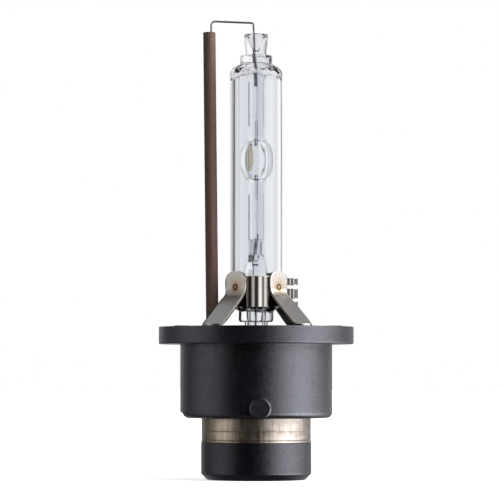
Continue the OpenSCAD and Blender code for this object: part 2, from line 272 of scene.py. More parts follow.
def material(name, **shader_inputs):
    """(material, node tree, principled shader, object coordinates in mm)."""
    made = bpy.data.materials.new(name)
    made.use_nodes = True
    tree = made.node_tree
    shader = tree.nodes["Principled BSDF"]
    for key, value in shader_inputs.items():
        shader.inputs[key.replace("_", " ")].default_value = value
    coords = node(tree, "TexCoord").outputs["Object"]
    in_mm = node(tree, "VectorMath", {"operation": "SCALE"}, i0=coords, Scale=1 / MM)
    return made, tree, shader, in_mm.outputs[0]


def noise_of(tree, coords, scale, detail=4.0, rough=0.55, stretch=(1, 1, 1)):
    """Noise from 0 to 1 with so many cells a millimetre; stretch scales each axis."""
    mapped = node(tree, "VectorMath", {"operation": "MULTIPLY"}, i0=coords, i1=stretch)
    made = node(tree, "TexNoise", None, Vector=mapped.outputs[0], Scale=scale,
                Detail=detail, Roughness=rough)
    return made.outputs["Fac"]


def ramp(tree, fac, stops):
    """Colour ramp from (position, colour) stops; a number stands for a grey."""
    made = node(tree, "ValToRGB", None, Fac=fac)
    elements = made.color_ramp.elements
    while len(elements) < len(stops):
        elements.new(0.5)
    for element, (position, colour) in zip(elements, stops):
        element.position = position
        grey = isinstance(colour, (int, float))
        element.color = (colour, colour, colour, 1) if grey else (*colour, 1)
    return made.outputs["Color"]


def blend(tree, fac, a, b, mode="MIX"):
    """Mix of two colours, each a socket or a colour tuple."""
    made = node(tree, "Mix", {"data_type": "RGBA", "blend_type": mode})
    for name, value in (("Factor_Float", fac), ("A_Color", a), ("B_Color", b)):
        socket = next(s for s in made.inputs if s.identifier == name)
        if isinstance(value, bpy.types.NodeSocket):
            tree.links.new(value, socket)
        elif isinstance(value, (int, float)):
            socket.default_value = value
        else:
            socket.default_value = (*value, 1)
    return next(s for s in made.outputs if s.identifier == "Result_Color")


def maths(tree, operation, a, b=0.0):
    made = node(tree, "Math", {"operation": operation}, i0=a, i1=b)
    return made.outputs[0]


def brightened(tree, colour, gain):
    """A colour times a number, which may take it past 1."""
    made = node(tree, "VectorMath", {"operation": "SCALE"}, i0=colour, Scale=gain)
    return made.outputs[0]


def bump(tree, shader, height, depth_mm, strength=1.0, under=None):
    """Bump on the shader, over another bump's normal if one is given. Returns its own normal."""
    made = node(tree, "Bump", None, Height=height, Strength=strength, Distance=depth_mm * MM)
    if under:
        tree.links.new(under, made.inputs["Normal"])
    tree.links.new(made.outputs[0], shader.inputs["Normal"])
    return made.outputs[0]


def axis_of(tree, coords, name):
    return node(tree, "SeparateXYZ", None, Vector=coords).outputs[name]


def link(tree, output, shader, name):
    tree.links.new(output, shader.inputs[name])


def distance_to(tree, coords, point):
    made = node(tree, "VectorMath", {"operation": "DISTANCE"}, i0=coords, i1=point)
    return made.outputs["Value"]


def witness_line(tree, mm):
    """1 along the moulding's slanted witness line down the barrel's front, and 0 elsewhere."""
    top_depth, top_turn = 3.3, 0.466
    slant_per_mm, half_width = math.radians(0.463), math.radians(0.42)
    gaps = ((-12.05, 0.5), (-16.0, 2.1), (-1.0, 2.2))
    x, y, z = node(tree, "SeparateXYZ", None, Vector=mm).outputs
    turn = maths(tree, "ARCTAN2", x, maths(tree, "MULTIPLY", y, -1.0))
    slant = maths(tree, "MULTIPLY", maths(tree, "ADD", z, top_depth), slant_per_mm)
    off = maths(tree, "ABSOLUTE", maths(tree, "SUBTRACT", turn, maths(tree, "ADD", slant, top_turn)))
    line = maths(tree, "LESS_THAN", off, half_width)
    for middle, half in gaps:
        away = maths(tree, "ABSOLUTE", maths(tree, "SUBTRACT", z, middle))
        line = maths(tree, "MULTIPLY", line, maths(tree, "GREATER_THAN", away, half))
    return line


def cap_plastic(name, tone=1.0, ior=1.85, lined=False):
    """Near-black mineral-filled moulding: pebble grain and flecks over slow flow marks."""
    made, tree, shader, mm = material(name, IOR=ior, Specular_Tint=(0.885, 0.90, 1.0, 1))
    flow = noise_of(tree, mm, 0.16, 3, 0.5, (1, 1, 2.2))
    dark = tuple(tone * c for c in (0.0010, 0.0011, 0.0038))
    light = tuple(tone * c for c in (0.0028, 0.0030, 0.0072))
    base = ramp(tree, flow, [(0.35, dark), (0.68, light)])
    flecks = ramp(tree, noise_of(tree, mm, 5.5, 2, 0.6), [(0.60, 0.0), (0.78, 1.0)])
    link(tree, blend(tree, maths(tree, "MULTIPLY", flecks, 0.30), base, (0.020, 0.021, 0.025)),
         shader, "Base Color")
    link(tree, ramp(tree, noise_of(tree, mm, 1.4, 4, 0.7), [(0.3, 0.25), (0.7, 0.40)]),
         shader, "Roughness")
    grain = noise_of(tree, mm, 3.0, 3, 0.7)
    soft_edge = node(tree, "Bevel", {"samples": 4}, Radius=0.12 * MM).outputs[0]
    slow = bump(tree, shader, flow, 0.12, 0.3, under=soft_edge)
    pebbled = bump(tree, shader, grain, 0.040, 0.6, under=slow)
    if lined:
        cut = maths(tree, "SUBTRACT", 1.0, witness_line(tree, mm))
        bump(tree, shader, cut, 0.06, 0.8, under=pebbled)
    return made


def quartz(name, tint, streak_depth, seal_tint=None):
    """Drawn quartz: clear, with faint lengthwise striae; the foil seals are a little smoky."""
    made, tree, shader, mm = material(
        name, IOR=1.458, Transmission_Weight=1.0, Roughness=0.0)
    striae = noise_of(tree, mm, 1.3, 3, 0.5, (1, 1, 0.04))
    colour = ramp(tree, striae, [(0.3, tint), (0.8, (0.985, 0.99, 1.0))])
    if seal_tint:
        reach = 20.0
        near, far = (CHAMBER_HALF - 0.6) / reach, (ARC_Z - SEAL_LOW) / reach
        from_arc = maths(tree, "ABSOLUTE", maths(tree, "SUBTRACT", axis_of(tree, mm, "Z"), ARC_Z))
        seal = ramp(tree, maths(tree, "DIVIDE", from_arc, reach),
                    [(near, 0.0), (near + 0.04, 1.0), (far - 0.06, 1.0), (far, 0.0)])
        colour = blend(tree, seal, colour, seal_tint)
    link(tree, colour, shader, "Base Color")
    bump(tree, shader, noise_of(tree, mm, 0.7, 2, 0.4, (1, 1, 0.12)), streak_depth, 0.5)
    return made


def fused_joint():
    """Faces where two pieces of quartz are one glass, so light passes straight through."""
    made, tree, shader, _ = material("fused_quartz_joint")
    output = shader.outputs[0].links[0].to_node
    link(tree, node(tree, "BsdfTransparent").outputs[0], output, "Surface")
    tree.nodes.remove(shader)
    return made


def metal(name, dark, light, rough, grain=1.2, stretch=(1, 1, 1), depth=0.01, spread=0.08):
    """Rolled or drawn metal with tone and roughness that wander along the working direction."""
    made, tree, shader, mm = material(name, Metallic=1.0)
    tone = noise_of(tree, mm, grain, 5, 0.6, stretch)
    link(tree, ramp(tree, tone, [(0.28, dark), (0.72, light)]), shader, "Base Color")
    fine = noise_of(tree, mm, grain * 4, 4, 0.6, stretch)
    link(tree, ramp(tree, fine, [(0.3, rough - spread), (0.75, rough + spread)]),
         shader, "Roughness")
    bump(tree, shader, fine, depth, 0.5)
    return made, tree, shader, mm


def leg_steel():
    """Pickled strip, in the leg's own frame: an orange-brown heat halo round the spot weld,
    duller sheared side edges, and painted shade that colours the inner face dark."""
    halo_reach = 3.2
    made, tree, shader, mm = metal(
        "leg_steel", (0.52, 0.50, 0.485), (0.60, 0.58, 0.56), 0.28, 2.0, (1, 1, 0.35), 0.004, 0.03)
    away = distance_to(tree, mm, (LEG_PAD + 0.02, 0.0, WELD_Z))
    wander = maths(tree, "MULTIPLY", noise_of(tree, mm, 0.8, 4), 0.9)
    reach = maths(tree, "ADD", away, maths(tree, "SUBTRACT", wander, 0.45))
    tint = ramp(tree, maths(tree, "DIVIDE", reach, halo_reach),
                [(0.14, (0.42, 0.22, 0.10)), (0.24, (0.80, 0.64, 0.47)),
                 (0.42, (0.90, 0.82, 0.74)), (0.60, (0.96, 0.92, 0.90)), (0.9, (1, 1, 1))])
    base = shader.inputs["Base Color"].links[0].from_socket
    coloured = blend(tree, 1.0, base, tint, "MULTIPLY")
    facing = node(tree, "TexCoord").outputs["Normal"]
    outward, sideways, _ = node(tree, "SeparateXYZ", None, Vector=facing).outputs
    sheared = ramp(tree, maths(tree, "ABSOLUTE", sideways), [(0.45, 0.0), (0.75, 1.0)])
    coloured = blend(tree, sheared, coloured, (0.17, 0.15, 0.135))
    # painted shade: the inner face, which turns to the glass, is coloured near-black
    inner = ramp(tree, maths(tree, "MULTIPLY", outward, -1.0), [(0.30, 0.0), (0.55, 1.0)])
    link(tree, blend(tree, inner, coloured, (0.085, 0.078, 0.072)), shader, "Base Color")
    return made


def weld_metal():
    """Spot weld in the leg's own frame: cream button, burnt brown moat, tan lip."""
    made, tree, shader, mm = material("weld_spot", Specular_IOR_Level=0.15)
    away = distance_to(tree, mm, (LEG_PAD, 0.0, WELD_Z))
    uneven = maths(tree, "MULTIPLY", noise_of(tree, mm, 2.6, 3), 0.16)
    rim = maths(tree, "ADD", away, maths(tree, "SUBTRACT", uneven, 0.08))
    link(tree, ramp(tree, rim, [(0.05, (0.35, 0.22, 0.12)), (0.09, (0.92, 0.84, 0.66)),
                                (0.20, (0.92, 0.84, 0.66)), (0.27, (0.050, 0.018, 0.008)),
                                (0.45, (0.030, 0.011, 0.005)), (0.55, (0.26, 0.12, 0.05))]),
         shader, "Base Color")
    link(tree, ramp(tree, rim, [(0.20, 0.8), (0.26, 0.0), (0.47, 0.0), (0.56, 0.5)]),
         shader, "Metallic")
    link(tree, ramp(tree, noise_of(tree, mm, 5.0), [(0.3, 0.28), (0.7, 0.45)]),
         shader, "Roughness")
    bump(tree, shader, noise_of(tree, mm, 6.0), 0.02, 0.5)
    return made


def sleeve_ceramic():
    """Unglazed extruded ceramic: matte red-brown, draw lines, pores and one dark speck."""
    made, tree, shader, mm = material("sleeve_ceramic")
    drawn = noise_of(tree, mm, 2.4, 4, 0.6, (1, 1, 0.05))
    cloud = noise_of(tree, mm, 0.35, 3)
    base = ramp(tree, drawn, [(0.3, (0.088, 0.047, 0.037)), (0.7, (0.135, 0.078, 0.060))])
    warm = blend(tree, maths(tree, "MULTIPLY", cloud, 0.5), base, (0.16, 0.088, 0.066))
    speck_at, speck_r = (-8.0, -0.95, 25.4), 0.22
    speck = maths(tree, "LESS_THAN", distance_to(tree, mm, speck_at), speck_r)
    link(tree, blend(tree, speck, warm, (0.012, 0.009, 0.008)), shader, "Base Color")
    link(tree, ramp(tree, cloud, [(0.3, 0.62), (0.7, 0.8)]), shader, "Roughness")
    pores = noise_of(tree, mm, 9.0, 3, 0.7)
    bump(tree, shader, pores, 0.02, 0.5)
    return made


def ring_metal():
    """Nickel-plated ring: brushed round, scuffed upright by connectors and stained in patches,
    with a painted highlight: a bright warm band down its left side, darker across the middle and
    right."""
    gain, width = 2.1, 20.0
    made, tree, shader, mm = material("worn_nickel", Metallic=1.0)
    scuff = noise_of(tree, mm, 2.2, 5, 0.7, (1, 1, 0.10))
    stain = noise_of(tree, mm, 0.45, 4, 0.6, (1, 1, 1.6))
    brushed = noise_of(tree, mm, 1.0, 4, 0.6, (0.5, 0.5, 7.0))
    base = ramp(tree, scuff, [(0.34, (0.21, 0.186, 0.16)), (0.64, (0.48, 0.448, 0.405))])
    dull = ramp(tree, stain, [(0.42, 0.0), (0.66, 1.0)])
    worn = blend(tree, maths(tree, "MULTIPLY", dull, 0.5), base, (0.155, 0.118, 0.095))
    across = maths(tree, "ADD", maths(tree, "DIVIDE", axis_of(tree, mm, "X"), width), 0.5)
    # painted highlight: brighter, warmer band on the ring's left side, darker towards the middle and
    # right
    painted_left_highlight = ramp(tree, across, [(0.10, (0.46, 0.405, 0.35)), (0.24, (1.0, 0.91, 0.80)),
                               (0.38, (0.60, 0.545, 0.49)), (0.60, (0.53, 0.505, 0.50)),
                               (0.72, (0.485, 0.47, 0.48))])
    polished = blend(tree, maths(tree, "MULTIPLY", brushed, 0.35), worn, (0.36, 0.338, 0.305))
    link(tree, blend(tree, 1.0, brightened(tree, polished, gain), painted_left_highlight, "MULTIPLY"),
         shader, "Base Color")
    link(tree, ramp(tree, scuff, [(0.25, 0.26), (0.75, 0.46)]), shader, "Roughness")
    bump(tree, shader, brushed, 0.012, 0.5, under=bump(tree, shader, scuff, 0.02, 0.5))
    return made


def halide():
    """Frozen salt film: patchy yellow-tan, thin enough to glow."""
    made, tree, shader, mm = material("halide_film", Transmission_Weight=0.9, IOR=1.12)
    patch = noise_of(tree, mm, 3.0, 5, 0.65)
    link(tree, ramp(tree, patch, [(0.3, (0.93, 0.80, 0.52)), (0.52, (0.98, 0.93, 0.76)),
                                  (0.8, (1.0, 0.99, 0.93))]), shader, "Base Color")
    link(tree, ramp(tree, patch, [(0.3, 0.25), (0.7, 0.5)]), shader, "Roughness")
    bump(tree, shader, patch, 0.02, 0.4)
    return made


# ---------------------------------------------------------------- glass

TOP_R = 2.58
TOP_BASE, TOP_RIM = 42.85, GLASS_HIGH.z
LOW_R, LOW_TOP, LOW_RIM = 2.83, 2.45, GLASS_LOW.z
TUBE_R = 1.72
STEM_R = 1.9
ROOF_Z, FLOOR_Z = 41.75, 3.35
WALL_LOW, WALL_HIGH = 3.75, 42.35
FOOT_R, FOOT_Z = 3.35, 2.72


def fire_polish(bm, low, high, depth):
    """Slow waviness of hand-worked glass between two heights, fading to none outside them."""
    fade, still_r = 1.5, 2.2
    for v in bm.verts:
        share = smoothstep(low - fade, low, v.co.z) * smoothstep(high + fade, high, v.co.z)
        r = math.hypot(v.co.x, v.co.y)
        if share and r > still_r:
            wave = (noise.noise(v.co * 0.55) + 0.5 * noise.noise(v.co * 1.7)) * depth * share
            v.co.x *= 1 + wave / r
            v.co.y *= 1 + wave / r


def outer_bulb(glass, joint):
    """Outer glass with a collar at each end, fused to the burner inside the collars."""
    bore = GLASS_R - GLASS_WALL
    bm = revolve(rounded([
        (STEM_R, LOW_RIM), (LOW_R, LOW_RIM, 0.4), (LOW_R, LOW_TOP, 0.2), (FOOT_R, FOOT_Z, 0.4),
        (GLASS_R, WALL_LOW, 0.9), (GLASS_R, WALL_HIGH, 1.75), (TOP_R, TOP_BASE, 0.25),
        (TOP_R, TOP_RIM, 0.22), (TUBE_R, TOP_RIM), (TUBE_R, ROOF_Z),
        (bore, ROOF_Z, 1.6), (bore, FLOOR_Z, 1.2), (STEM_R, FLOOR_Z)
    ], 12))
    for face in bm.faces:
        centre = face.calc_center_median()
        inner = math.hypot(centre.x, centre.y) < STEM_R + 0.01
        steep = abs(face.normal.z) < 0.5
        if inner and (centre.z > ROOF_Z or centre.z < FLOOR_Z) and steep:
            face.material_index = 1
    fire_polish(bm, ROOF_Z - 1.2, TOP_RIM, 0.16)
    fire_polish(bm, LOW_RIM, LOW_TOP + 1.2, 0.08)
    return piece("outer_bulb_glass", bm, [glass, joint], ["outer_bulb"], sharp=50)


SEAL_HALF_T, SEAL_HALF_W = 1.22, 1.8
SEAL_TOP, SEAL_LOW = 41.0, 10.4
CHAMBER_HALF = 3.98
CAVITY_R, CAVITY_HALF = 1.35, 3.3
FLARE, FLARE_START = 0.24, 44.4


def soft_max(a, b, soft=0.18):
    """The larger of two sizes, with a rounded change from one to the other."""
    return 0.5 * (a + b + math.hypot(a - b, soft)) - soft / 8


def burner_section(z):
    """(half thickness, half width, squareness) of the burner's outside at a height."""
    up = smoothstep(SEAL_TOP - 1.3, SEAL_TOP + 0.3, z)
    down = smoothstep(SEAL_LOW + 1.2, SEAL_LOW - 1.6, z)
    thick = mix(mix(SEAL_HALF_T, TUBE_R, up), STEM_R, down)
    wide = mix(mix(SEAL_HALF_W, TUBE_R, up), STEM_R, down)
    square = mix(mix(3.5, 2.0, up), 2.0, down)
    share = 1 - ((z - ARC_Z) / CHAMBER_HALF) ** 2
    if share > 0:
        chamber = CHAMBER_R * math.sqrt(share)
        thick, wide = soft_max(thick, chamber), soft_max(wide, chamber)
        square = mix(square, 2.0, smoothstep(0.15, 0.35, share))
    flare = FLARE * smoothstep(FLARE_START, BURNER_HIGH.z - 0.2, z)
    return thick + flare, wide + flare, square


def superellipse(bm, z, a, b, n, count=96):
    """Ring of vertices at a height: an ellipse for n = 2, squarer the larger n is."""
    ring = []
    for i in range(count):
        t = TAU * i / count
        c, s = math.cos(t), math.sin(t)
        x = math.copysign(abs(c) ** (2 / n), c) * a
        y = math.copysign(abs(s) ** (2 / n), s) * b
        ring.append(bm.verts.new((x, y, z)))
    return ring


def burner_heights():
    """Heights of the burner's rings: dense round the chamber and where the ends change shape."""
    def spaced(start, step, count):
        return [start + step * k for k in range(count)]

    heights = spaced(BURNER_LOW.z, 0.3, int((FLOOR_Z - BURNER_LOW.z) / 0.3) + 1)
    heights += [LOW_RIM, FLOOR_Z, ROOF_Z, TOP_RIM, 4.2, 5.5, 7.0]
    heights += spaced(8, 0.2, 20) + spaced(12, 1.2, 9) + spaced(32, 1.2, 6) + spaced(39, 0.2, 45)
    heights += [ARC_Z + 4.4 * math.sin(math.pi / 2 * k / 40) for k in range(-40, 41)]
    limit = BURNER_HIGH.z - 0.1
    return sorted({round(z, 3) for z in heights if BURNER_LOW.z < z < limit})


def arc_tube(glass, joint):
    """Quartz burner with an open bore at each end, an arc chamber and a void in its lower seal."""
    bm = bmesh.new()
    rings = []
    for z in burner_heights():
        rings.append((z, superellipse(bm, z, *burner_section(z))))
    for (za, a), (zb, b) in zip(rings, rings[1:]):
        middle = (za + zb) / 2
        fused = LOW_RIM < middle < FLOOR_Z or ROOF_Z < middle < TOP_RIM
        skin(bm, a, b, 1 if fused else 0)
    rim_r = burner_section(BURNER_HIGH.z)[0]
    tip_bore = [(rim_r - 0.10, BURNER_HIGH.z), (rim_r - 0.30, BURNER_HIGH.z),
                (rim_r - 0.42, BURNER_HIGH.z - 0.12), (0.86, 46.3), (0.42, 45.2),
                (0.28, 44.95), (0.2, 44.9), (0.0, 44.88)]
    stem_bore = [(STEM_R - 0.1, BURNER_LOW.z), (1.25, BURNER_LOW.z), (1.15, BURNER_LOW.z + 0.1),
                 (1.15, 7.4), (0.98, 8.5), (0.55, 9.6), (0.24, 10.15), (0.0, 10.2)]
    for bore, last in ((tip_bore, rings[-1][1]), (stem_bore, rings[0][1])):
        for r, z in bore:
            ring = [bm.verts.new((0, 0, z))] if r == 0 else superellipse(bm, z, r, r, 2)
            skin(bm, last, ring)
            last = ring
    obj = piece("arc_tube_glass", bm, [glass, joint], ["arc_tube"], sharp=60)
    cavity = [(CAVITY_R * math.cos(a), ARC_Z + CAVITY_HALF * math.sin(a))
              for a in (math.pi * (k / 40 - 0.5) for k in range(41))]
    join_void(obj, turned_inside_out(revolve(cavity, segments=96)))
    pocket = rounded([(0, 14.15), (0.66, 14.15, 0.1), (0.62, 11.6, 0.8),
                      (0.12, 10.5, 0.1), (0, SEAL_LOW)])
    join_void(obj, turned_inside_out(revolve(pocket, segments=64)))
    return obj


# ---------------------------------------------------------------- metal in the glass

WIRE_R = 0.165
TOP_CORNER = (-0.44, 0, 49.68)
WELD_POINT = (-1.6, 0, 49.73)
OUTER_CORNER = (-7.37, 0, 49.93)
TAIL_CORNER = (-7.05, 0, -16.9)
TAIL_END = (-8.5, 0, -16.9)


def electrode(name, tip_z, way, finish):
    """Tungsten rod with a rounded, slightly swollen tip; way is +1 where it runs upward."""
    r, length = 0.075, 4.4
    outline = [(0, 0), (0.06, 0.02), (0.09, 0.08), (0.095, 0.20), (r, 0.40), (r, length), (0, length)]
    bm = revolve([(x, tip_z + way * y) for x, y in outline], segments=32)
    return piece(name, bm, finish, [name])


def foil(name, finish):
    """Etched molybdenum strip: lens-shaped section, feathered long edges, a slow ripple."""
    low, high = extent(name)
    half_w, half_t, ripple = (high.y - low.y) / 2, 0.034, 0.035
    rows, sides = 40, 24
    bm = bmesh.new()
    rings = []
    for k in range(rows + 1):
        z = mix(low.z, high.z, k / rows)
        drift = ripple * noise.noise(Vector((0, 0, z * 0.8)))
        ring = []
        for i in range(sides):
            t = TAU * i / sides
            ring.append(bm.verts.new((drift + half_t * math.sin(t), half_w * math.cos(t), z)))
        rings.append(ring)
    bm.faces.new(rings[0])
    bm.faces.new(rings[-1])
    for a, b in zip(rings, rings[1:]):
        skin(bm, a, b)
    return piece(name, bm, finish, [name])


def wires(finish):
    """The upper lead, the return wire that is welded to it, and the lower lead in the stem."""
    foot = extent("upper_lead")[0].z
    route = bent_path([(0, 0, foot), TOP_CORNER, WELD_POINT], [0.32])
    piece("upper_lead_wire", sweep(route, WIRE_R), finish, ["upper_lead"])
    route = bent_path([WELD_POINT, OUTER_CORNER, TAIL_CORNER, TAIL_END], [0.65, 0.65])
    piece("return_wire_run", sweep(route, WIRE_R), finish, ["return_wire"])
    low, high = extent("lower_lead")
    route = bent_path([(0.19, 0, high.z), (-0.45, 0, 10.6), (-0.1, 0, 5), (-0.1, 0, low.z)], [1, 1])
    piece("lower_lead_wire", sweep(route, WIRE_R), finish, ["lower_lead"])


def salt_film(finish):
    """Thin crescent of salt on the chamber's wall on the return wire's side."""
    bm = bmesh.new()
    columns, rows = 24, 36
    low, high, middle = 25.1, 29.5, math.radians(197)
    clearance, thinnest, thickest = 0.01, 0.012, 0.16
    outer, inner = [], []
    for j in range(rows + 1):
        v = j / rows
        z = mix(low, high, v)
        wall = (CAVITY_R - clearance) * math.sqrt(1 - ((z - ARC_Z) / CAVITY_HALF) ** 2)
        spread = 1.05 * math.sin(math.pi * v) ** 0.55
        for side, store in ((0, outer), (1, inner)):
            row = []
            for i in range(columns + 1):
                u = i / columns * 2 - 1
                edge = noise.noise(Vector((u * 2, z * 1.4, 3.0))) * 0.25
                a = middle + u * (spread + edge)
                thick = thickest * (1 - u * u) * math.sin(math.pi * v) + thinnest
                lumps = 0.05 * noise.noise(Vector((u * 4, z * 2.5, 0)))
                r = wall - clearance - side * max(thinnest, thick + lumps)
                row.append(bm.verts.new((r * math.cos(a), r * math.sin(a), z)))
            store.append(row)
    for grid, flip in ((outer, False), (inner, True)):
        for j in range(rows):
            for i in range(columns):
                loop = [grid[j][i], grid[j][i + 1], grid[j + 1][i + 1], grid[j + 1][i]]
                bm.faces.new(loop[::-1] if flip else loop)
    for j in range(rows):
        for i in (0, columns):
            bm.faces.new([outer[j][i], inner[j][i], inner[j + 1][i], outer[j + 1][i]])
    for i in range(columns):
        for j in (0, rows):
            bm.faces.new([outer[j][i], inner[j][i], inner[j][i + 1], outer[j][i + 1]])
    return piece("halide_film", bm, finish, ["halide_salt"])


# ---------------------------------------------------------------- sleeve

def sleeve(finish):
    """Ceramic tube on its own leaning axis, with softly broken end edges."""
    axis = Vector(SLEEVE_JOINT["axis"]).normalized()
    lean = Vector((0, 0, 1)).rotation_difference(axis).to_matrix().to_4x4()
    low, high, outer_r, bore_r = -5.4, 48.1, 1.015, 0.60
    bm = revolve(rounded([
        (outer_r, low, 0.08), (outer_r, high, 0.06), (bore_r, high, 0.05), (bore_r, low, 0.05)
    ], 4), segments=72)
    lengthwise = [e for e in bm.edges if e.calc_length() > 20]
    bmesh.ops.subdivide_edges(bm, edges=lengthwise, cuts=40)
    for v in bm.verts:
        if abs(v.co.z - high) < 1:
            v.co.z += 0.06 * noise.noise(Vector((v.co.x, v.co.y, 0)) * 1.7)
    place = Matrix.Translation(Vector(SLEEVE_JOINT["pos_m"]) / MM) @ lean
    bmesh.ops.transform(bm, matrix=place, verts=bm.verts)
    return piece("ceramic_sleeve", bm, finish, ["insulator_sleeve"], "sleeve")


# ---------------------------------------------------------------- holder

LEG_T = 0.4
LEG_PAD = BAND_R + LEG_T
LEG_TOP, LEG_KNEE = extent("leg_front_right")[1].z, 5.35
LEG_HALF = 2.09
LEG_HEEL, LEG_END = 10.36, 11.45
LEG_FOOT = FLANGE_TOP + LEG_T
LEG_BENDS = (1.9, 0.55)
WELD_Z = 6.3


def leg_centreline():
    """(rho, z) points down the outer face of a leg, with rounded bends."""
    corners = [(LEG_PAD, 0, LEG_TOP), (LEG_PAD, 0, LEG_KNEE),
               (LEG_HEEL, 0, LEG_FOOT), (LEG_END, 0, LEG_FOOT)]
    return [(p.x, p.z) for p in bent_path(corners, LEG_BENDS, 0.12)]


def leg_half_width(s, total):
    """Half width of the leg at a distance s from the top of its pad: round ends, a faint waist."""
    head, waist, waist_at = 1.6, 0.2, 3.7
    if s < head:
        return LEG_HALF - head + math.sqrt(max(0.0, head * head - (head - s) ** 2))
    if total - s < LEG_HALF:
        return math.sqrt(max(0.0, LEG_HALF ** 2 - (LEG_HALF - (total - s)) ** 2))
    return LEG_HALF - waist * math.exp(-(s - waist_at) ** 2)


def leg_mesh():
    """Bent strip along +X with rounded head and foot and broken edges."""
    fine = leg_centreline()
    lengths = [0.0]
    for (ax, az), (bx, bz) in zip(fine, fine[1:]):
        lengths.append(lengths[-1] + math.hypot(bx - ax, bz - az))
    total = lengths[-1]
    edge, tip, columns = 0.045, 0.012, 10
    bm = bmesh.new()
    rings = []
    for i, ((x, z), s) in enumerate(zip(fine, lengths)):
        ax, az = fine[max(0, i - 1)]
        bx, bz = fine[min(len(fine) - 1, i + 1)]
        along = Vector((bx - ax, 0, bz - az)).normalized()
        out = Vector((-along.z, 0, along.x))
        half = leg_half_width(min(max(s, tip), total - tip), total)
        centre = Vector((x, 0, z))
        section = rounded([(half, 0, edge), (half, -LEG_T, edge),
                           (-half, -LEG_T, edge), (-half, 0, edge)], 3)
        shares = [k / columns for k in range(1, columns)]
        top = [(mix(-half + edge, half - edge, share), 0) for share in shares]
        low = [(mix(half - edge, -half + edge, share), -LEG_T) for share in shares]
        loop = section[:8] + low + section[8:] + top
        rings.append([bm.verts.new(centre + out * y + Vector((0, w, 0))) for w, y in loop])
    bm.faces.new(rings[0])
    bm.faces.new(rings[-1])
    for a, b in zip(rings, rings[1:]):
        skin(bm, a, b)
    return bm


def weld_ring():
    """Raised lip and sunken button of a spot weld, standing on the pad's face."""
    bm = revolve([(0, -0.01), (0.20, 0.0), (0.28, 0.01), (0.36, 0.04), (0.44, 0.045),
                  (0.50, 0.02), (0.55, -0.03), (0, -0.06)], segments=40)
    turn = Matrix.Rotation(math.pi / 2, 4, "Y")
    bmesh.ops.transform(
        bm, matrix=Matrix.Translation((LEG_PAD, 0, WELD_Z)) @ turn, verts=bm.verts)
    return bm


def legs(finish, weld):
    """Four strips and their spot welds, all made along +X and turned to their places."""
    places = {"leg_front_left": -135, "leg_front_right": -45,
              "leg_rear_left": 135, "leg_rear_right": 45}
    for name, azimuth in places.items():
        obj = stored(name + "_strip", leg_mesh(), [finish])
        obj.rotation_euler.z = math.radians(azimuth)
        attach(obj, "lamp")
        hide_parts(name)
        spot = stored(name + "_weld", weld_ring(), [weld])
        spot.rotation_euler.z = math.radians(azimuth)
        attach(spot, "lamp")


# Each knuckle's lower end and height, then where all are centred, and their curl in degrees.
KNUCKLES = ((6.71, 1.13), (4.52, 1.60), (3.30, 0.78))
KNUCKLE_X, KNUCKLE_R = 5.95, 0.85
KNUCKLE_CURL = (-100, 235)


def strip_path(points, z, height, bm):
    """Upright band strip: a plan path of (x, y) points made thick, with broken edges."""
    path = [Vector((*p, 0)) for p in points]
    edge = 0.06
    rings = []
    for i, p in enumerate(path):
        along = (path[min(i + 1, len(path) - 1)] - path[max(i - 1, 0)]).normalized()
        side = Vector((along.y, -along.x, 0))
        loop = rounded([(0, z, edge), (BAND_T, z, edge), (BAND_T, z + height, edge),
                        (0, z + height, edge)], 3)
        rings.append([bm.verts.new(p - side * w + Vector((0, 0, h))) for w, h in loop])
    bm.faces.new(rings[0])
    bm.faces.new(rings[-1])
    for a, b in zip(rings, rings[1:]):
        skin(bm, a, b)


def clamp_band(finish):
    """Sheet band round the glass whose end is cut into tabs that are rolled into knuckles."""
    bm = bmesh.new()
    gap, hoop_steps, curl_steps = 0.13, 150, 36
    hoop = []
    for k in range(hoop_steps + 1):
        a = mix(gap, TAU - gap, k / hoop_steps)
        hoop.append((BAND_R * math.cos(a), BAND_R * math.sin(a)))
    strip_path(hoop[::-1], BAND_LOW.z, BAND_HIGH.z - BAND_LOW.z, bm)
    tab = [(x, -KNUCKLE_R) for x in (BAND_R - 0.25, 5.2, 5.6)]
    for k in range(curl_steps + 1):
        a = math.radians(mix(*KNUCKLE_CURL, k / curl_steps))
        tab.append((KNUCKLE_X + KNUCKLE_R * math.cos(a), KNUCKLE_R * math.sin(a)))
    for z, height in KNUCKLES:
        strip_path(tab, z, height, bm)
    return piece("clamp_band_strip", bm, finish, ["clamp_band"], sharp=12)


# ---------------------------------------------------------------- cap

def smooth_cad_node(name, finish, sharp=30):
    """Finishes a CAD node's own mesh: new material, round walls shaded round, edges kept."""
    obj = frame["nodes"][name]
    obj.data.materials.clear()
    obj.data.materials.append(finish)
    obj.data.shade_smooth()
    obj.data.set_sharp_from_angle(angle=math.radians(sharp))
    flat_faces_first(obj)


def contact_ring(finish):
    """Plated ring with a rolled lower bead, a dark groove over it and a faint middle crease."""
    low, high, r = RING_LOW.z, RING_HIGH.z, RING_HIGH.x
    bore, face, crease = r - 0.4, r - 0.05, (low + high) / 2 - 0.1
    bm = revolve(rounded([
        (bore, low), (r, low, 0.12), (r + 0.02, low + 0.34, 0.12), (r - 0.16, low + 0.40, 0.04),
        (face, low + 0.52, 0.06), (face, crease - 0.12, 0.03), (r - 0.11, crease, 0.03),
        (face, crease + 0.12, 0.03), (face, high, 0.1), (bore, high)
    ], 5), segments=CAP_ROUND)
    return piece("contact_ring_band", bm, finish, ["contact_ring"], sharp=50)


